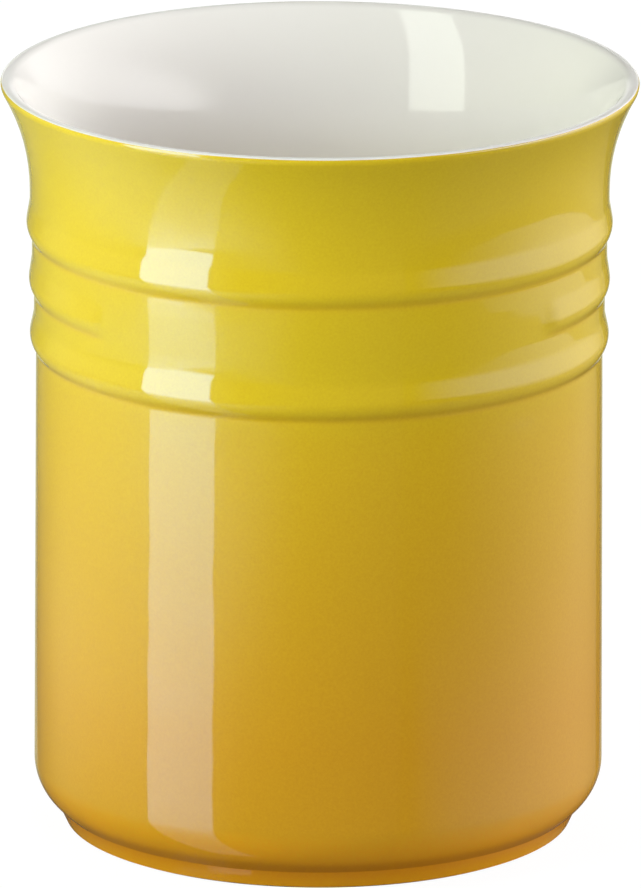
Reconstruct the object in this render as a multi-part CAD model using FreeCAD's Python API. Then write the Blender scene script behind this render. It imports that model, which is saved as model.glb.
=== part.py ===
import FreeCAD, Part
import math
import os

# A glazed stoneware utensil crock: one thrown and fired clay body, and the coats of glaze on it.
# Millimetres, +Z up. The crock stands on z = 0, with its axis on Z and its front towards -Y.
# Diameters and heights are over the glaze. Roundings are those of the clay, before it is glazed.

V = FreeCAD.Vector
AXIS = V(0, 0, 1)
ORIGIN = V(0, 0, 0)
FULL_TURN = 360.0

# Overall sizes: the height, and the straight wall just below the rings
height = 151.4
wall_diameter = 111.96

# Thicknesses
wall = 5.0
floor = 5.6
glaze = 0.4

# Flared mouth and its lip
flare_width = 5.71
flare_height = 22.3
inner_flare_height = 29.4
lip_flat = 0.6
lip_outer_rounding = 0.2
lip_under_rounding = 1.6
lip_inner_rounding = 1.6
# Where the white coat over the lip meets the coloured one, above the horizontal
glaze_line_angle = 42.0

# Raised rings below the flare: a long slope above each crest, a short step below it
neck_band = 2.13
ring_pitch = 11.4
ring_slope_height = 4.85
ring_step_height = 2.3
ring_wall_step = 0.385
upper_ring_height = 1.23
middle_ring_height = 1.1
lower_ring_height = 1.44
ring_start_rounding = 9.4
ring_crest_rounding = 3.9
ring_root_rounding = 2.4

# Plain front of the middle ring: the angle between its two ends, and the angle that each end fades over
ring_gap_angle = 97.0
ring_fade_angle = 5.0
gap_margin = 1.2
gap_skim = 0.02

# Heel, foot ring and the recess inside it, each set out or in from the one above
wall_splay = 0.5
heel_height = 8.76
heel_rounding = 11.0
cove_inset = 4.5
cove_height = 4.3
cove_rounding = 1.2
foot_inset = 2.0
foot_width = 6.2
foot_rounding = 1.6
foot_inner_rounding = 1.0
recess_depth = 3.0
recess_taper = 1.2
recess_rounding = 1.6
bare_foot = 0.6

# Inside
inner_floor_rounding = 9.0

# How far cutting shapes run past what they cut, and how much of a run a rounding may take up
overrun = 6.0
run_share = 0.66

# Clay sizes that follow from the finished ones
clay_top = height - glaze
ring_heights = (upper_ring_height, middle_ring_height, lower_ring_height)
wall_radius = wall_diameter / 2 - glaze
inner_radius = wall_radius - wall
neck_radius = wall_radius + len(ring_heights) * ring_wall_step
rim_radius = neck_radius + flare_width
heel_radius = wall_radius + wall_splay
cove_radius = heel_radius - cove_inset
foot_radius = cove_radius - foot_inset
neck_height = height - flare_height
inner_neck_height = height - inner_flare_height
floor_top = recess_depth + floor
outer_lip_centre = V(rim_radius - lip_outer_rounding, 0, clay_top - lip_outer_rounding)
under_lip_centre = V(rim_radius - lip_under_rounding, 0, outer_lip_centre.z)
inner_lip_centre = V(outer_lip_centre.x - lip_flat, 0, clay_top - lip_inner_rounding)


def line(start, end):
    return Part.LineSegment(start, end).toShape()


def arc_middle(centre, start, end):
    """The middle of an arc of less than half a turn about a centre."""
    radius = (start - centre).Length
    return centre + ((start - centre) + (end - centre)).normalize() * radius


def arc_about(centre, start, end):
    return Part.Arc(start, arc_middle(centre, start, end), end).toShape()


def rounded(corners):
    """Edges along a chain of (point, rounding), where each corner between the ends is a tangent arc."""
    edges = []
    start = corners[0][0]
    for (before, _), (corner, rounding), (after, _) in zip(corners, corners[1:], corners[2:]):
        back = before - corner
        ahead = after - corner
        half_turn = (math.pi - back.getAngle(ahead)) / 2
        longest = run_share * min(back.Length, ahead.Length)
        reach = min(rounding * math.tan(half_turn), longest)
        radius = reach / math.tan(half_turn)
        back.normalize()
        ahead.normalize()
        centre = corner + (back + ahead).normalize() * (radius / math.cos(half_turn))
        turn_start = corner + back * reach
        turn_end = corner + ahead * reach
        edges.append(line(start, turn_start))
        edges.append(arc_about(centre, turn_start, turn_end))
        start = turn_end
    edges.append(line(start, corners[-1][0]))
    return edges


def flare(neck, lip_centre, lip_rounding, side):
    """The centre of the arc that leaves the neck upright and runs into the lip's rounding, and where they touch.

    The lip's rounding lies outside the arc's circle on the outer wall (side 1) and inside it on the inner (side -1).
    """
    out = lip_centre.x - neck.x
    up = lip_centre.z - neck.z
    radius = (up**2 + out**2 - lip_rounding**2) / (2 * (out + side * lip_rounding))
    centre = neck + V(radius, 0, 0)
    touch = centre + (lip_centre - centre).normalize() * radius
    return centre, touch


def ring_wall_radius(index):
    """The wall above a ring, counted from the top; the wall below it is the next one's."""
    return neck_radius - index * ring_wall_step


def ring_start_height(index):
    return neck_height - neck_band - index * ring_pitch


def ring_root_height(index):
    return ring_start_height(index) - ring_slope_height - ring_step_height


def ring_crest_radius(index):
    return ring_wall_radius(index + 1) + ring_heights[index]


def ring_corners(index):
    """One ring from the top: the start of its slope, its crest, and the root of the step below."""
    start_height = ring_start_height(index)
    return [
        (V(ring_wall_radius(index), 0, start_height), ring_start_rounding),
        (V(ring_crest_radius(index), 0, start_height - ring_slope_height), ring_crest_rounding),
        (V(ring_wall_radius(index + 1), 0, ring_root_height(index)), ring_root_rounding),
    ]


def clay_outline():
    """The section of the clay from the axis out, as a face: inside, lip, outside, foot and recess."""
    inner_edge = V(inner_lip_centre.x, 0, clay_top)
    outer_edge = V(outer_lip_centre.x, 0, clay_top)
    widest = V(rim_radius, 0, outer_lip_centre.z)
    inside = [
        (V(0, 0, floor_top), 0),
        (V(inner_radius, 0, floor_top), inner_floor_rounding),
        (inner_neck, 0),
    ]
    outside = [(neck, 0)]
    for index in range(len(ring_heights)):
        outside += ring_corners(index)
    ring_inside = foot_radius - foot_width
    recess_radius = ring_inside - recess_taper
    outside += [
        (V(heel_radius, 0, heel_height), heel_rounding),
        (V(cove_radius, 0, cove_height), cove_rounding),
        (V(foot_radius, 0, 0), foot_rounding),
        (V(ring_inside, 0, 0), foot_inner_rounding),
        (V(recess_radius, 0, recess_depth), recess_rounding),
        (V(0, 0, recess_depth), 0),
    ]
    edges = rounded(inside)
    edges.append(arc_about(inner_centre, inner_neck, inner_touch))
    edges.append(arc_about(inner_lip_centre, inner_touch, inner_edge))
    edges.append(line(inner_edge, outer_edge))
    edges.append(arc_about(outer_lip_centre, outer_edge, widest))
    edges.append(arc_about(under_lip_centre, widest, outer_touch))
    edges.append(arc_about(outer_centre, outer_touch, neck))
    edges += rounded(outside)
    edges.append(line(outside[-1][0], inside[0][0]))
    return Part.Face(Part.Wire(edges))


def polygon(points):
    return Part.Face(Part.makePolygon(points + points[:1]))


def turned(section):
    return section.revolve(ORIGIN, AXIS, FULL_TURN)


def ring_gap(cover):
    """What is cut from the front of the middle ring, down to the plain wall under a cover of that thickness.

    An off-centre cylinder spares the ring behind the gap, and its slant fades the two ends of the ring.
    """
    middle = ring_heights.index(middle_ring_height)
    upper_radius = ring_wall_radius(middle)
    lower_radius = ring_wall_radius(middle + 1)
    crest_radius = ring_crest_radius(middle)
    top = ring_start_height(middle) + gap_margin
    bottom = ring_root_height(middle) - gap_margin
    end_angle = math.radians(ring_gap_angle / 2)
    full_angle = end_angle + math.radians(ring_fade_angle)
    spread = lower_radius * math.cos(end_angle) - crest_radius * math.cos(full_angle)
    offset = (crest_radius**2 - lower_radius**2) / (2 * spread)
    off_radius = math.hypot(lower_radius * math.sin(end_angle), lower_radius * math.cos(end_angle) + offset)
    beyond = crest_radius + overrun
    band = turned(
        polygon(
            [
                V(upper_radius + cover + gap_skim, 0, top),
                V(lower_radius + cover + gap_skim, 0, bottom),
                V(beyond, 0, bottom),
                V(beyond, 0, top),
            ]
        )
    )
    spared = Part.makeCylinder(off_radius + cover, height, V(0, offset, 0), AXIS)
    return band.cut(spared)


def coat(outline, region):
    """The glaze within a region of the section, reaching into the clay until that is cut away from it."""
    return turned(outline.makeOffset2D(glaze).common(region).Faces[0])


# Flare, from the neck to the lip
neck = V(neck_radius, 0, neck_height)
inner_neck = V(inner_radius, 0, inner_neck_height)
outer_centre, outer_touch = flare(neck, under_lip_centre, lip_under_rounding, 1)
inner_centre, inner_touch = flare(inner_neck, inner_lip_centre, lip_inner_rounding, -1)

outline = clay_outline()

# Lines through the middle of the clay, which part the regions of the three coats
wall_middle = inner_radius + wall / 2
neck_middle = (inner_radius + neck_radius) / 2
outer_flare_middle = arc_middle(outer_centre, neck, outer_touch)
inner_flare_middle = arc_middle(inner_centre, inner_neck, inner_touch)
foot_middle = foot_radius - foot_width / 2
floor_middle = recess_depth + floor / 2
beyond_rim = rim_radius + overrun
beyond_top = height + overrun
line_angle = math.radians(glaze_line_angle)
line_direction = V(math.cos(line_angle), 0, math.sin(line_angle))
glaze_line_end = outer_lip_centre + line_direction * overrun
parting = [
    V(foot_middle, 0, floor_middle),
    V(wall_middle, 0, heel_height),
    V(neck_middle, 0, neck_height),
    (outer_flare_middle + inner_flare_middle) / 2,
    outer_lip_centre,
    glaze_line_end,
]

outer_region = polygon(
    [V(foot_middle, 0, bare_foot)]
    + parting
    + [V(beyond_rim, 0, glaze_line_end.z), V(beyond_rim, 0, bare_foot)]
)
liner_region = polygon(
    [V(0, 0, floor_middle)] + parting + [V(glaze_line_end.x, 0, beyond_top), V(0, 0, beyond_top)]
)
base_region = polygon(
    [
        V(0, 0, bare_foot),
        V(foot_middle, 0, bare_foot),
        V(foot_middle, 0, floor_middle),
        V(0, 0, floor_middle),
    ]
)

# The clay body, with the middle ring cut back across the front
stoneware_body = turned(outline).cut(ring_gap(0)).removeSplitter()

# The coats, each face to face with the clay
outer_glaze = coat(outline, outer_region).cut(ring_gap(glaze)).cut(stoneware_body)
liner_glaze = coat(outline, liner_region).cut(stoneware_body)
base_glaze = coat(outline, base_region).cut(stoneware_body)

os.makedirs("parts", exist_ok=True)
nodes = {
    "stoneware_body": stoneware_body,
    "outer_glaze": outer_glaze,
    "liner_glaze": liner_glaze,
    "base_glaze": base_glaze,
}
for name, shape in nodes.items():
    shape.exportStep("parts/" + name + ".step")
    print(name, len(shape.Solids), round(shape.Volume), shape.isValid())
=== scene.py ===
"""Looks of a glazed stoneware utensil crock: its glaze coats, its bare clay foot and the studio around it.

Metres, +Z up. The crock stands on z = 0, with its axis on Z and its front towards -Y.
"""

import math

import bmesh
import bpy
from mathutils import Matrix, Vector


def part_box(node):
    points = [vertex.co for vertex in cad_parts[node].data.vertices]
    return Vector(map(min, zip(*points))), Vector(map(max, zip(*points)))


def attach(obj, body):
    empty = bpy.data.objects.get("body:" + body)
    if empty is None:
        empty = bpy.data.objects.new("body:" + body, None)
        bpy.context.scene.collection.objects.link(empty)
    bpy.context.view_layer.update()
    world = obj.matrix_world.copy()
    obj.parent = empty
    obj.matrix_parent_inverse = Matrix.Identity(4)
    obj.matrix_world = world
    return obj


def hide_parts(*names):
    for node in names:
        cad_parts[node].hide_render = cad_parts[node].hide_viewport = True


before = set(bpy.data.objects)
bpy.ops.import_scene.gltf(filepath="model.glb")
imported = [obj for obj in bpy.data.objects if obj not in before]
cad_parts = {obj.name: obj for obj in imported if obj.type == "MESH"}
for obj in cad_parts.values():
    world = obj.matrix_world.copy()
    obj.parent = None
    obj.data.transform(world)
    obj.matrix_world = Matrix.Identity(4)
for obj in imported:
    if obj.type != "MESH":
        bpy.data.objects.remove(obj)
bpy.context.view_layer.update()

MM = 0.001
FULL_TURN = 2 * math.pi
QUARTER_TURN = math.pi / 2
AXIS = (0, 0, 1)
ORIGIN = (0, 0, 0)

# Sizes that the frame gives
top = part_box("liner_glaze")[1].z
rim_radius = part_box("outer_glaze")[1].x

# The clay under the glaze: wall, floor, flare and lip
glaze = 0.4 * MM
wall = 5.0 * MM
flare_width = 5.71 * MM
flare_height = 22.3 * MM
inner_flare_height = 29.4 * MM
lip_flat = 0.6 * MM
lip_outer_rounding = 0.2 * MM
lip_under_rounding = 1.6 * MM
lip_inner_rounding = 1.6 * MM
glaze_line_angle = math.radians(42)
floor_height = 8.6 * MM
inner_floor_rounding = 9.0 * MM

# Raised rings below the flare: a long slope above each crest, a short step below it
neck_band = 2.13 * MM
ring_pitch = 11.4 * MM
ring_slope_height = 4.85 * MM
ring_step_height = 2.3 * MM
ring_wall_step = 0.385 * MM
ring_heights = (1.23 * MM, 1.1 * MM, 1.44 * MM)
ring_start_rounding = 9.4 * MM
ring_crest_rounding = 3.9 * MM
ring_root_rounding = 2.4 * MM

# Plain front of the middle ring: the angle to each end of it, and the angle that the end fades over
middle_ring = 1
plain_front_angle = math.radians(48.5)
ring_fade_angle = math.radians(5)
ring_margin = 1.2 * MM

# Heel, foot ring and the recess inside it
wall_splay = 0.5 * MM
heel_height = 8.76 * MM
heel_rounding = 11.0 * MM
cove_inset = 4.5 * MM
cove_height = 4.3 * MM
cove_rounding = 1.2 * MM
foot_inset = 2.0 * MM
foot_width = 6.2 * MM
foot_rounding = 1.6 * MM
foot_inner_rounding = 1.0 * MM
recess_depth = 3.0 * MM
recess_taper = 1.2 * MM
recess_rounding = 1.6 * MM
bare_foot = 0.6 * MM

# How finely the coats are modelled, and how much of a run a rounding may take up
columns = 320
arc_step = math.radians(4)
longest_run = 4.0 * MM
run_share = 0.66
merge_distance = 0.001 * MM
sharp_angle = math.radians(40)

# Radii and heights of the clay that follow
clay_top = top - glaze
clay_rim = rim_radius - glaze
neck_radius = clay_rim - flare_width
wall_radius = neck_radius - len(ring_heights) * ring_wall_step
inner_radius = wall_radius - wall
heel_radius = wall_radius + wall_splay
cove_radius = heel_radius - cove_inset
foot_radius = cove_radius - foot_inset
neck = Vector((neck_radius, top - flare_height))
inner_neck = Vector((inner_radius, top - inner_flare_height))
outer_lip_centre = Vector((clay_rim - lip_outer_rounding, clay_top - lip_outer_rounding))
under_lip_centre = Vector((clay_rim - lip_under_rounding, outer_lip_centre.y))
inner_lip_centre = Vector((outer_lip_centre.x - lip_flat, clay_top - lip_inner_rounding))

# The way up in the section, and a point on the line from the lip's middle through where the two coats meet
UP = Vector((0, 1))
glaze_line = outer_lip_centre + Vector((math.cos(glaze_line_angle), math.sin(glaze_line_angle)))


# Section of the crock, as points (radius, height) that follow it with the clay on the right hand


def out_of_clay(direction):
    return Vector((-direction.y, direction.x))


def bearing(centre, point):
    return math.atan2(point.y - centre.y, point.x - centre.x)


def arc(centre, start, end, radius):
    """Points at a radius about a centre, from the bearing of one point to that of another, the short way."""
    begin = bearing(centre, start)
    sweep = (bearing(centre, end) - begin + math.pi) % FULL_TURN - math.pi
    steps = max(2, math.ceil(abs(sweep) / arc_step))
    angles = [begin + sweep * step / steps for step in range(steps + 1)]
    return [centre + radius * Vector((math.cos(angle), math.sin(angle))) for angle in angles]


def rounded(corners):
    """The glaze over clay given as a chain of (point, rounding), with an arc at each inner corner."""
    first_run = (corners[1][0] - corners[0][0]).normalized()
    last_run = (corners[-1][0] - corners[-2][0]).normalized()
    points = [corners[0][0] + out_of_clay(first_run) * glaze]
    for (before, _), (corner, rounding), (after, _) in zip(corners, corners[1:], corners[2:]):
        arriving = corner - before
        leaving = after - corner
        half_turn = arriving.angle(leaving) / 2
        hollow = math.copysign(1, arriving.cross(leaving))
        reach = min(rounding * math.tan(half_turn), run_share * min(arriving.length, leaving.length))
        radius = reach / math.tan(half_turn)
        start = corner - arriving.normalized() * reach
        end = corner + leaving.normalized() * reach
        centre = start + out_of_clay(arriving.normalized()) * hollow * radius
        points += arc(centre, start, end, radius - hollow * glaze)
    points.append(corners[-1][0] + out_of_clay(last_run) * glaze)
    return points


def flare(neck, lip_centre, lip_rounding, side):
    """The arc that leaves the neck upright and runs into the lip's rounding: its centre, radius and end.

    The rounding lies outside the arc's circle on the outer wall (side 1), inside it on the inner (side -1).
    """
    out = lip_centre.x - neck.x
    up = lip_centre.y - neck.y
    radius = (up**2 + out**2 - lip_rounding**2) / (2 * (out + side * lip_rounding))
    centre = neck + Vector((radius, 0))
    return centre, radius, centre + (lip_centre - centre).normalized() * radius


def ring_wall_radius(ring):
    """The wall above a ring, counted from the top; the wall below it is the next one's."""
    return neck_radius - ring * ring_wall_step


def ring_start_height(ring):
    return neck.y - neck_band - ring * ring_pitch


def ring_root_height(ring):
    return ring_start_height(ring) - ring_slope_height - ring_step_height


def ring_corners(ring):
    """One ring from the top: the start of its slope, its crest, and the root of the step below."""
    start_height = ring_start_height(ring)
    crest_radius = ring_wall_radius(ring + 1) + ring_heights[ring]
    return [
        (Vector((ring_wall_radius(ring), start_height)), ring_start_rounding),
        (Vector((crest_radius, start_height - ring_slope_height)), ring_crest_rounding),
        (Vector((ring_wall_radius(ring + 1), ring_root_height(ring))), ring_root_rounding),
    ]


def crossing(above, below, height):
    """The point at a height on the line between two others."""
    return above.lerp(below, (above.y - height) / (above.y - below.y))


def white_section():
    """From the middle of the floor, up the inside and over the lip to the glaze line."""
    centre, radius, touch = flare(inner_neck, inner_lip_centre, lip_inner_rounding, -1)
    corners = [
        (Vector((0, floor_height)), 0),
        (Vector((inner_radius, floor_height)), inner_floor_rounding),
        (inner_neck, 0),
    ]
    points = rounded(corners)
    points += arc(centre, inner_neck, touch, radius + glaze)
    points += arc(inner_lip_centre, touch, inner_lip_centre + UP, lip_inner_rounding + glaze)
    points += arc(outer_lip_centre, outer_lip_centre + UP, glaze_line, lip_outer_rounding + glaze)
    return points


def outside_section():
    """From the neck down over the rings, the wall, the heel and the foot, and into the recess."""
    corners = [(neck, 0)]
    for ring in range(len(ring_heights)):
        corners += ring_corners(ring)
    ring_inside = foot_radius - foot_width
    corners += [
        (Vector((heel_radius, heel_height)), heel_rounding),
        (Vector((cove_radius, cove_height)), cove_rounding),
        (Vector((foot_radius, 0)), foot_rounding),
        (Vector((ring_inside, 0)), foot_inner_rounding),
        (Vector((ring_inside - recess_taper, recess_depth)), recess_rounding),
        (Vector((0, recess_depth)), 0),
    ]
    return rounded(corners)


def yellow_section():
    """From the glaze line on the lip down to the bare clay of the foot."""
    centre, radius, touch = flare(neck, under_lip_centre, lip_under_rounding, 1)
    widest = Vector((clay_rim, outer_lip_centre.y))
    points = arc(outer_lip_centre, glaze_line, widest, lip_outer_rounding + glaze)
    points += arc(under_lip_centre, widest, touch, lip_under_rounding + glaze)
    points += arc(centre, touch, neck, radius - glaze)
    outside = outside_section()
    bare = next(index for index, point in enumerate(outside) if point.y < bare_foot)
    return points + outside[:bare] + [crossing(outside[bare - 1], outside[bare], bare_foot)]


def recess_section():
    """From the bare clay inside the foot ring to the middle of the recess."""
    outside = outside_section()
    last_bare = max(index for index, point in enumerate(outside) if point.y < bare_foot)
    return [crossing(outside[last_bare + 1], outside[last_bare], bare_foot)] + outside[last_bare + 1 :]


def divided(points):
    """The same line without doubled points, its long runs cut into shorter ones."""
    line = [points[0]]
    for point in points[1:]:
        run = (point - line[-1]).length
        if run < merge_distance:
            continue
        start = line[-1]
        pieces = math.ceil(run / longest_run)
        line += [start.lerp(point, piece / pieces) for piece in range(1, pieces + 1)]
    return line


# Modelling


def turned(name, section):
    """A skin turned about the crock's axis from its section, facing out of the clay."""
    bpy.ops.object.select_all(action="DESELECT")
    bpy.ops.mesh.primitive_plane_add(size=glaze, location=ORIGIN)
    coat = bpy.context.object
    coat.name = name
    coat.data.name = name
    bpy.ops.object.mode_set(mode="EDIT")
    bpy.ops.mesh.select_all(action="SELECT")
    bpy.ops.mesh.merge(type="CENTER")
    bpy.ops.transform.translate(value=(section[0].x, 0, section[0].y))
    for here, there in zip(section, section[1:]):
        step = there - here
        bpy.ops.mesh.extrude_vertices_move(TRANSFORM_OT_translate={"value": (step.x, 0, step.y)})
    bpy.ops.mesh.select_all(action="SELECT")
    bpy.ops.mesh.spin(steps=columns, angle=FULL_TURN, center=ORIGIN, axis=AXIS)
    bpy.ops.mesh.select_all(action="SELECT")
    bpy.ops.mesh.remove_doubles(threshold=merge_distance)
    bpy.ops.mesh.normals_make_consistent(inside=False)
    bpy.ops.object.mode_set(mode="OBJECT")
    return coat


def press_row(coat, row, plain_radius):
    """Scales one row of the coat's outside, given by its point in the section, to the plain wall's radius."""
    bpy.ops.mesh.select_all(action="DESELECT")
    mesh = bmesh.from_edit_mesh(coat.data)
    for vert in mesh.verts:
        vert.select = abs(vert.co.z - row.y) < merge_distance and vert.co.xy.length > wall_radius
    mesh.select_flush_mode()
    bmesh.update_edit_mesh(coat.data)
    share = plain_radius / row.x
    bpy.ops.transform.resize(value=(share, share, 1), center_override=(0, 0, row.y))


def plain_front_group(coat):
    """A vertex group that holds the plain front, fading out at the two ends of the ring."""
    front = coat.vertex_groups.new(name="plain_front")
    for vert in coat.data.vertices:
        angle = abs(math.atan2(vert.co.x, -vert.co.y))
        fade = min(max((angle - plain_front_angle) / ring_fade_angle, 0), 1)
        front.add([vert.index], 1 - fade * fade * (3 - 2 * fade), "REPLACE")
    return front


def press_plain_front(coat, section):
    """Presses the middle ring flat across the front, with its two ends fading into the plain wall."""
    high = ring_start_height(middle_ring) + ring_margin
    low = ring_root_height(middle_ring) - ring_margin
    high_radius = ring_wall_radius(middle_ring) + glaze
    low_radius = ring_wall_radius(middle_ring + 1) + glaze
    bpy.ops.object.shape_key_add(from_mix=False)
    bpy.ops.object.shape_key_add(from_mix=False)
    pressed = coat.active_shape_key
    bpy.ops.object.mode_set(mode="EDIT")
    for row in section:
        if low < row.y < high:
            press_row(coat, row, low_radius + (high_radius - low_radius) * (row.y - low) / (high - low))
    bpy.ops.object.mode_set(mode="OBJECT")
    front = plain_front_group(coat)
    pressed.vertex_group = front.name
    pressed.value = 1
    bpy.ops.object.shape_key_remove(all=True, apply_mix=True)
    coat.vertex_groups.remove(front)


def thickened(coat):
    """Gives a turned coat its thickness, inwards to the clay, and smooth faces with crisp ends."""
    bpy.ops.object.modifier_add(type="SOLIDIFY")
    depth = coat.modifiers[-1]
    depth.thickness = glaze
    depth.offset = -1
    depth.use_even_offset = True
    bpy.ops.object.modifier_apply(modifier=depth.name)
    bpy.ops.object.shade_smooth_by_angle(angle=sharp_angle)
    return coat


# Finishes


class Value:
    """A socket's value in a finish. Sums with numbers and other values add their nodes."""

    def __init__(self, finish, socket):
        self.finish = finish
        self.socket = socket

    def maths(self, operation, *terms):
        return self.finish.node("ShaderNodeMath", {"operation": operation}, dict(enumerate(terms)))

    def __add__(self, other):
        return self.maths("ADD", self, other)

    def __radd__(self, other):
        return self.maths("ADD", other, self)

    def __sub__(self, other):
        return self.maths("SUBTRACT", self, other)

    def __rsub__(self, other):
        return self.maths("SUBTRACT", other, self)

    def __mul__(self, other):
        return self.maths("MULTIPLY", self, other)

    def __rmul__(self, other):
        return self.maths("MULTIPLY", other, self)

    def __truediv__(self, other):
        return self.maths("DIVIDE", self, other)

    def __rtruediv__(self, other):
        return self.maths("DIVIDE", other, self)

    def __neg__(self):
        return 0 - self

    def __abs__(self):
        return self.maths("ABSOLUTE", self)

    def bearing(self, other):
        return self.maths("ARCTAN2", self, other)

    def larger(self, other):
        return self.maths("MAXIMUM", self, other)

    def smooth(self, low, high):
        """Rises smoothly from 0 at low to 1 at high."""
        return self.finish.node(
            "ShaderNodeMapRange",
            {"interpolation_type": "SMOOTHSTEP"},
            {"Value": self, "From Min": low, "From Max": high},
        )


class Finish:
    """The nodes of a material or of the world."""

    def __init__(self, tree):
        self.tree = tree
        self.tree.nodes.clear()

    def node(self, kind, settings=None, inputs=None, output=0):
        """Adds a node, with its settings first and then the numbers or links of its sockets."""
        added = self.tree.nodes.new(kind)
        for name, setting in (settings or {}).items():
            if name == "stops":
                self.set_stops(added.color_ramp.elements, setting)
            else:
                setattr(added, name, setting)
        for socket, value in (inputs or {}).items():
            if isinstance(value, Value):
                self.tree.links.new(value.socket, added.inputs[socket])
            else:
                added.inputs[socket].default_value = value
        return Value(self, added.outputs[output] if len(added.outputs) else None)

    def set_stops(self, elements, stops):
        while len(elements) < len(stops):
            elements.new(0)
        for element, (place, colour) in zip(elements, stops):
            element.position = place
            element.color = colour

    def place(self):
        return self.node("ShaderNodeTexCoord", output="Object")

    def path(self, kind):
        return self.node("ShaderNodeLightPath", output=kind)

    def parts(self, vector):
        split = self.node("ShaderNodeSeparateXYZ", inputs={0: vector}).socket.node
        return [Value(self, socket) for socket in split.outputs]

    def noise(self, place, size, detail=2.0, roughness=0.5):
        """Soft noise from 0 to 1 with features of a size."""
        sockets = {"Vector": place, "Scale": 1 / size, "Detail": detail, "Roughness": roughness}
        return self.node("ShaderNodeTexNoise", {"normalize": True}, sockets)

    def mix(self, share, first, second, blend="MIX"):
        """A colour between two, or the second laid on the first by another blend."""
        settings = {"data_type": "RGBA", "blend_type": blend}
        return self.node("ShaderNodeMix", settings, {0: share, 6: first, 7: second}, 2)

    def bump(self, height, depth):
        return self.node("ShaderNodeBump", inputs={"Height": height, "Distance": depth, "Strength": 1.0})

    def surface(self, shader):
        self.node("ShaderNodeOutputMaterial", inputs={"Surface": shader})


def new_finish(name):
    material = bpy.data.materials.new(name)
    material.use_nodes = True
    return material, Finish(material.node_tree)


# Colours, linear
LEMON = (0.64, 0.466, 0.014, 1)
SUNNY = (0.645, 0.465, 0.014, 1)
CORN = (0.63, 0.416, 0.013, 1)
HONEY = (0.635, 0.404, 0.013, 1)
AMBER = (0.635, 0.368, 0.012, 1)
DEEP_AMBER = (0.65, 0.334, 0.012, 1)
FOOT_AMBER = (0.88, 0.385, 0.009, 1)
# Darker amber of pooled glaze; in the grooves and the cove it also serves as painted shade
POOLED_AND_SHADED_AMBER = (0.72, 0.25, 0.004, 1)
WARM_WHITE = (0.825, 0.81, 0.77, 1)
# Cream that stands for painted warm bounce light deep inside the crock
BOUNCE_WARMED_WHITE = (0.865, 0.825, 0.705, 1)
CLOUDED_WHITE = (0.76, 0.74, 0.66, 1)
BARE_CLAY = (0.62, 0.52, 0.4, 1)
CLAY_SPECK = (0.4, 0.3, 0.2, 1)
WHITE = (1, 1, 1, 1)

# Gloss of the glazes
yellow_glaze_index = 1.75
yellow_gloss_tint = (0.3, 0.52, 1, 1)
white_glaze_index = 1.34
glaze_roughness = 0.05
wave_size = 16 * MM
wave_detail = 1.0
wave_depth = 0.1 * MM

# Yellow glaze: its colours by shares of the crock's height, how the spray and a slow drift shift and mottle
# them, and where the glaze pools, with painted shade laid into the grooves and the cove
yellow_by_height_share = [
    (0.045, FOOT_AMBER),
    (0.085, DEEP_AMBER),
    (0.2, DEEP_AMBER),
    (0.4, AMBER),
    (0.57, HONEY),
    (0.62, CORN),
    (0.67, SUNNY),
    (0.95, LEMON),
]
drift_size = 22 * MM
drift_height_share = 0.03
spray_size = 0.5 * MM
spray_detail = 3.0
spray_roughness = 0.7
spray_height_share = 0.02
spray_mottle_share = 0.16
noise_middle = 0.5
groove_pool_and_shade_lift = 0.25 * MM
groove_pool_and_shade_reach = 1.6 * MM
groove_pool_and_shade_share = 0.12
cove_pool_and_shade_reach = 3.2 * MM
cove_pool_and_shade_share = 0.6

# White glaze: the shares of the height between which it turns from a cream of painted warm bounce light to
# white, and its faint clouds
bounce_warmth_height_shares = (0.7, 0.9)
cloud_size = 22 * MM
cloud_detail = 3.0
cloud_share = 0.12

# Recess glaze and bare clay
recess_spray_size = 1.5 * MM
speck_size = 0.6 * MM
speck_detail = 4.0
speck_roughness = 0.75
speck_edge = (0.55, 0.75)
speck_depth = 0.05 * MM
clay_roughness = 0.85


def gloss(finish, place, colour, index, tint=WHITE):
    """A glossy coat of a colour, with the slight waves of a fired glaze."""
    waves = finish.noise(place, wave_size, wave_detail)
    shader = finish.node(
        "ShaderNodeBsdfPrincipled",
        inputs={
            "Base Color": colour,
            "Roughness": glaze_roughness,
            "IOR": index,
            "Specular Tint": tint,
            "Normal": finish.bump(waves, wave_depth),
        },
    )
    finish.surface(shader)


def pooled_and_shaded_share(x, y, height):
    """How far the glaze has pooled, with painted shade laid in too: a little under each ring, not on its
    plain front, more in the cove.
    """
    front = abs(x.bearing(-y))
    grooves = 0
    for ring in range(len(ring_heights)):
        away = abs(height - (ring_root_height(ring) + groove_pool_and_shade_lift))
        groove = 1 - away.smooth(0, groove_pool_and_shade_reach)
        if ring == middle_ring:
            groove = groove * front.smooth(plain_front_angle, plain_front_angle + ring_fade_angle)
        grooves = groove + grooves
    cove = 1 - abs(height - cove_height).smooth(0, cove_pool_and_shade_reach)
    return (grooves * groove_pool_and_shade_share).larger(cove * cove_pool_and_shade_share)


def yellow_glaze_finish():
    """Sprayed glaze, lemon yellow at the lip and amber at the foot, darker where it pools and where shade is
    painted into the grooves and the cove.
    """
    material, finish = new_finish("yellow_glaze")
    place = finish.place()
    x, y, height = finish.parts(place)
    drift = finish.noise(place, drift_size)
    spray = finish.noise(place, spray_size, spray_detail, spray_roughness)
    shift = (drift - noise_middle) * drift_height_share + (spray - noise_middle) * spray_height_share
    height_share = height / top + shift
    colour = finish.node("ShaderNodeValToRGB", {"stops": yellow_by_height_share}, {"Fac": height_share})
    # Darkens the grooves and the cove: partly pooled glaze, partly painted shade
    colour = finish.mix(pooled_and_shaded_share(x, y, height), colour, POOLED_AND_SHADED_AMBER)
    colour = finish.mix(spray_mottle_share, colour, spray, "OVERLAY")
    gloss(finish, place, colour, yellow_glaze_index, yellow_gloss_tint)
    return material


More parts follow.
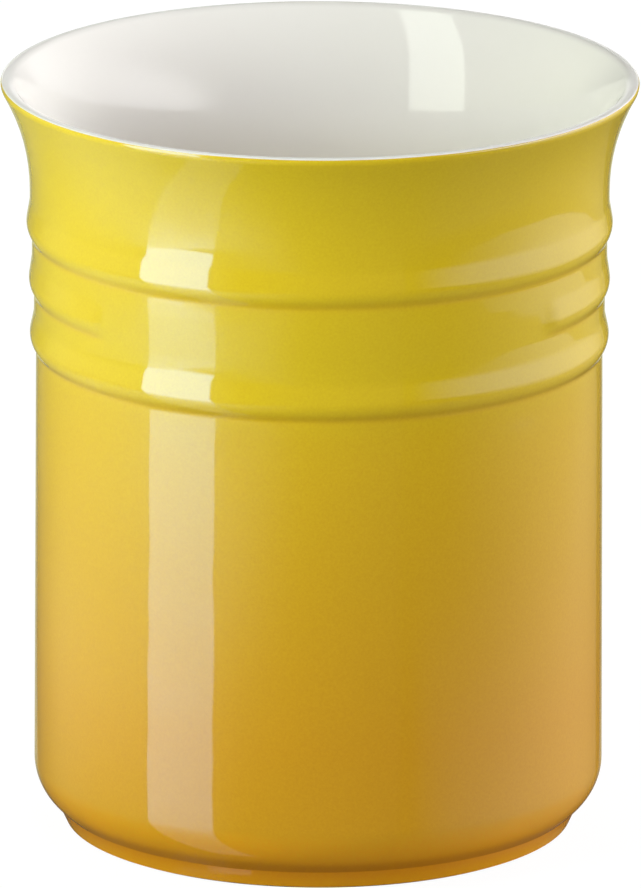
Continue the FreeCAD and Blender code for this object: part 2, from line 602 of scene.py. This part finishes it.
def white_glaze_finish():
    """Warm white gloss, creamier towards the floor, where warm bounce light is painted in."""
    material, finish = new_finish("white_glaze")
    place = finish.place()
    _, _, height = finish.parts(place)
    cloud = finish.noise(place, cloud_size, cloud_detail)
    # Painted warm bounce light: creamier towards the floor inside
    colour = finish.mix((height / top).smooth(*bounce_warmth_height_shares), BOUNCE_WARMED_WHITE, WARM_WHITE)
    colour = finish.mix(cloud * cloud_share, colour, CLOUDED_WHITE)
    gloss(finish, place, colour, white_glaze_index)
    return material


def recess_glaze_finish():
    """Amber gloss, mottled as sprayed."""
    material, finish = new_finish("recess_glaze")
    place = finish.place()
    spray = finish.noise(place, recess_spray_size, spray_detail, spray_roughness)
    colour = finish.mix(spray, DEEP_AMBER, POOLED_AND_SHADED_AMBER)
    gloss(finish, place, colour, yellow_glaze_index, yellow_gloss_tint)
    return material


def bare_clay_finish():
    """Matt fired stoneware with fine specks."""
    material, finish = new_finish("bare_clay")
    specks = finish.noise(finish.place(), speck_size, speck_detail, speck_roughness)
    shader = finish.node(
        "ShaderNodeBsdfPrincipled",
        inputs={
            "Base Color": finish.mix(specks.smooth(*speck_edge), BARE_CLAY, CLAY_SPECK),
            "Roughness": clay_roughness,
            "Normal": finish.bump(specks, speck_depth),
        },
    )
    finish.surface(shader)
    return material


# Studio. A pair of numbers is the stretch over which a light or a colour comes in or fades out.

# Camera: a long lens, a little above the crock
camera_distance = 3.0
camera_elevation = math.radians(15.81)
camera_bearing = math.radians(-1.65)
camera_roll = math.radians(0.17)
camera_lens = 614.2
aim_height = 76.69 * MM
aim_side = 0.3 * MM

# Floor: white to the camera; in the glaze a dark polished table, with painted light that makes it pale at the
# left and in a wedge behind the crock
floor_radius = 2.5
floor_sides = 96
floor_drop = 0.02 * MM
floor_white = 0.96
floor_shadow = (0.06, 0.06, 0.06, 1)
table_dark = (0.08, 0.08, 0.08, 1)
# Colour of the painted light on the table
table_painted_light = (0.82, 0.9, 0.68, 1)
table_index = 1.45
table_roughness = 0.02
pale_left = (0.03, 0.2)
pale_left_back = (0, 0.2)
pale_left_back_loss = 0.55
pale_wedge_start = (0, 0.05)
pale_wedge_slope = (0.1, 0.3)
pale_wedge_share = 0.8

# Soft box: it stands on the floor at the left of the camera, and its gleam in the glaze leans and is taller
strip_place = Vector((-0.368, -0.2435, 0))
strip_facing = math.radians(43.35)
strip_width = 0.226
strip_height = 0.68
strip_light_level = 5.4
strip_colour = (0.99, 1.075, 1.04)
strip_gleam_height = 1.1
strip_gleam_lean = math.radians(3)
strip_gleam_step = 3 * MM
strip_gleam_level = 5.7
strip_gleam_colour = (1.02, 1.1, 0.98)

# Soft lamps: place, level and colour
soft_lamp_size = 0.6
soft_lamps = {
    "fill_lamp": (Vector((0.3, -1.0, 0.6)), 3.2, (1.02, 0.9, 1.02)),
    "rim_lamp": (Vector((0.6, 0.7, 0.3)), 5.6, (1, 1, 1)),
    "left_rim_lamp": (Vector((-0.7, 0.5, 0.3)), 1.1, (1, 1, 1)),
    "back_lamp": (Vector((0, 0.8, 0.9)), 3.0, (1, 1, 1)),
}

# Bounce card at the right: a glow above, a dimmer foot below, and less of both towards the back
card_side = 0.38
card_front = -0.65
card_back = 0.65
card_height = 0.6
card_foot = (-0.4, 0.12)
card_foot_level = 0.97
card_rise = (0.01, 0.095)
card_rise_slant = 0.1
card_glow = (-0.6, 0)
card_glow_top = (0.3, 0.5)
card_glow_top_loss = 0.6
card_glow_level = 1.52
card_dim_back = (-0.05, 0.6)
card_dim_back_loss = 0.72

# Bright band across the card, with a soft and then a crisp lower edge
band_front = (-0.45, -0.15)
band_back = (-0.1, 0.2)
band_back_loss = 0.65
band_soft_edge = (0.14, 0.2)
band_soft_edge_share = 0.3
band_crisp_edge = (0.205, 0.235)
band_top = (0.26, 0.42)
band_level = 5.5

# Room: directions are shares of the way to one side, to the back or straight up
dim_light = (0.08, 0.08, 0.08, 1)
left_light = (0.72, 0.74, 0.42, 1)
right_light = (6.1, 6.1, 6.1, 1)
overhead_light = (0.1, 0.1, 0.1, 1)
sideways = (0.5, 0.85)
left_light_top = (0.3, 0.7)
right_light_top = (0.1, 0.5)
overhead = (0.5, 0.9)
straight_back = (0.95, 0.99)


def polished_table(finish):
    """The floor as the crock's glaze shows it: a dark polished table with pools of painted light on it."""
    side, behind, _ = finish.parts(finish.place())
    # Pools of painted light: at the left, where the soft box lights the floor, and in a wedge behind the
    # crock
    left = (-side).smooth(*pale_left) * (1 - behind.smooth(*pale_left_back) * pale_left_back_loss)
    slope = (abs(side) - rim_radius) / behind
    wedge = behind.smooth(*pale_wedge_start) * (1 - slope.smooth(*pale_wedge_slope))
    pale = left.larger(wedge * pale_wedge_share)
    return finish.node(
        "ShaderNodeBsdfPrincipled",
        inputs={
            "Base Color": finish.mix(pale, table_dark, table_painted_light),
            "Roughness": table_roughness,
            "IOR": table_index,
            "Coat Weight": 1.0,
            "Coat Roughness": table_roughness,
            "Coat IOR": table_index,
        },
    )


def pale_floor():
    """White to the camera, apart from the crock's faint shadow."""
    bpy.ops.object.select_all(action="DESELECT")
    place = (0, 0, -floor_drop)
    bpy.ops.mesh.primitive_circle_add(
        vertices=floor_sides, radius=floor_radius, fill_type="NGON", location=place
    )
    floor = bpy.context.object
    floor.name = "pale_floor"
    material, finish = new_finish("pale_floor")
    white = finish.node("ShaderNodeEmission", inputs={"Color": WHITE, "Strength": floor_white})
    shadow = finish.node("ShaderNodeBsdfDiffuse", inputs={"Color": floor_shadow})
    sheet = finish.node("ShaderNodeAddShader", inputs={0: white, 1: shadow})
    shaders = {0: finish.path("Is Camera Ray"), 1: polished_table(finish), 2: sheet}
    finish.surface(finish.node("ShaderNodeMixShader", inputs=shaders))
    floor.data.materials.append(material)


def area_lamp(name, place, facing, level, area):
    """A lamp that the camera doesn't see, whose face has a brightness and an area."""
    bpy.ops.object.light_add(type="AREA", location=place)
    lamp = bpy.context.object
    lamp.name = name
    lamp.rotation_euler = facing
    lamp.data.energy = level * math.pi * area
    lamp.visible_camera = False
    return lamp


def strip_lamp(name, height, lean, level, colour):
    """An upright soft box of a height, which leans to its side."""
    turn = Matrix.Rotation(strip_facing - QUARTER_TURN, 3, "Z") @ Matrix.Rotation(QUARTER_TURN, 3, "X")
    turn = turn @ Matrix.Rotation(lean, 3, "Z")
    middle = strip_place + turn @ Vector((0, height / 2, 0))
    lamp = area_lamp(name, middle, turn.to_euler(), level, strip_width * height)
    lamp.data.shape = "RECTANGLE"
    lamp.data.size = strip_width
    lamp.data.size_y = height
    lamp.data.color = colour
    return lamp


def soft_box():
    """The soft box as it lights the crock and, a little in front, as it gleams in the glaze."""
    light = strip_lamp("strip_light", strip_height, 0, strip_light_level, strip_colour)
    light.visible_glossy = False
    gleam = strip_lamp(
        "strip_gleam", strip_gleam_height, strip_gleam_lean, strip_gleam_level, strip_gleam_colour
    )
    gleam.visible_diffuse = False
    gleam.location += strip_gleam_step * Vector((math.cos(strip_facing), math.sin(strip_facing), 0))


def soft_lamp(name, place, level, colour):
    """A round soft lamp that faces the crock and leaves no gleam."""
    facing = (place - Vector((0, 0, top / 2))).to_track_quat("Z", "Y").to_euler()
    lamp = area_lamp(name, place, facing, level, math.pi * soft_lamp_size**2 / 4)
    lamp.data.shape = "DISK"
    lamp.data.size = soft_lamp_size
    lamp.data.color = colour
    lamp.visible_glossy = False


def card_light(finish):
    """The light that the card gives off. Only a first reflection of it shows the bright band."""
    _, behind, up = finish.parts(finish.place())
    first_reflection = 1 - finish.path("Glossy Depth").smooth(1, 2)
    reach = behind.smooth(*band_front) * (1 - behind.smooth(*band_back) * band_back_loss)
    soft_edge = up.smooth(*band_soft_edge) * band_soft_edge_share
    edge = soft_edge + up.smooth(*band_crisp_edge) * (1 - band_soft_edge_share)
    band = edge * (1 - up.smooth(*band_top)) * reach * first_reflection * band_level
    glow = behind.smooth(*card_glow) * (1 - up.smooth(*card_glow_top) * card_glow_top_loss)
    above = glow * card_glow_level + band
    foot = behind.smooth(*card_foot) * card_foot_level
    rise = (up + behind * card_rise_slant).smooth(*card_rise)
    return (foot + (above - foot) * rise) * (1 - behind.smooth(*card_dim_back) * card_dim_back_loss)


def bounce_card():
    """A card that stands on the floor at the right and shows only in the glaze."""
    bpy.ops.object.select_all(action="DESELECT")
    bpy.ops.mesh.primitive_plane_add(size=1, location=ORIGIN)
    card = bpy.context.object
    card.name = "bounce_card"
    bpy.ops.object.mode_set(mode="EDIT")
    bpy.ops.mesh.select_all(action="SELECT")
    bpy.ops.transform.resize(value=(card_height, card_back - card_front, 1))
    bpy.ops.transform.rotate(value=QUARTER_TURN, orient_axis="Y", center_override=ORIGIN)
    bpy.ops.transform.translate(value=(card_side, (card_back + card_front) / 2, card_height / 2))
    bpy.ops.object.mode_set(mode="OBJECT")
    material, finish = new_finish("bounce_card")
    finish.surface(finish.node("ShaderNodeEmission", inputs={"Color": card_light(finish)}))
    card.data.materials.append(material)
    card.visible_camera = False
    card.visible_diffuse = False
    card.visible_shadow = False


def studio_world():
    """A dim room with soft light from the left, the right and overhead, and a white sheet at the back."""
    world = bpy.data.worlds.new("studio")
    bpy.context.scene.world = world
    world.use_nodes = True
    finish = Finish(world.node_tree)
    side, behind, up = finish.parts(finish.node("ShaderNodeTexCoord", output="Generated"))
    left = (-side).smooth(*sideways) * (1 - up.smooth(*left_light_top))
    right = side.smooth(*sideways) * (1 - up.smooth(*right_light_top))
    light = finish.mix(left, dim_light, left_light, "ADD")
    light = finish.mix(right, light, right_light, "ADD")
    light = finish.mix(up.smooth(*overhead), light, overhead_light, "ADD")
    mirrored = finish.path("Is Glossy Ray") + finish.path("Is Transmission Ray")
    backdrop = finish.path("Is Camera Ray").larger(mirrored * behind.smooth(*straight_back))
    background = finish.node("ShaderNodeBackground", inputs={"Color": finish.mix(backdrop, light, WHITE)})
    finish.node("ShaderNodeOutputWorld", inputs={"Surface": background})


def add_camera():
    upright = Matrix.Rotation(QUARTER_TURN - camera_elevation, 3, "X")
    turn = Matrix.Rotation(camera_bearing, 3, "Z") @ upright
    place = turn @ Vector((aim_side, 0, camera_distance)) + Vector((0, 0, aim_height))
    facing = turn @ Matrix.Rotation(camera_roll, 3, "Z")
    bpy.ops.object.camera_add(location=place, rotation=facing.to_euler())
    camera = bpy.context.object
    camera.data.lens = camera_lens
    bpy.context.scene.camera = camera


# The crock


def add_coat(coat, node, material):
    """Puts a coat with its finish on the crock, in place of its node."""
    coat.data.materials.append(material)
    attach(coat, "root")
    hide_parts(node)


section = divided(yellow_section())
yellow = turned("yellow_coat", section)
press_plain_front(yellow, section)
thickened(yellow)
add_coat(yellow, "outer_glaze", yellow_glaze_finish())

white = thickened(turned("white_liner", divided(white_section())))
add_coat(white, "liner_glaze", white_glaze_finish())

recess = thickened(turned("foot_recess_coat", divided(recess_section())))
add_coat(recess, "base_glaze", recess_glaze_finish())

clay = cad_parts["stoneware_body"]
clay.data.materials.clear()
clay.data.materials.append(bare_clay_finish())

pale_floor()
soft_box()
for name, (place, level, colour) in soft_lamps.items():
    soft_lamp(name, place, level, colour)
bounce_card()
studio_world()
add_camera()
bpy.context.scene.view_settings.view_transform = "Standard"
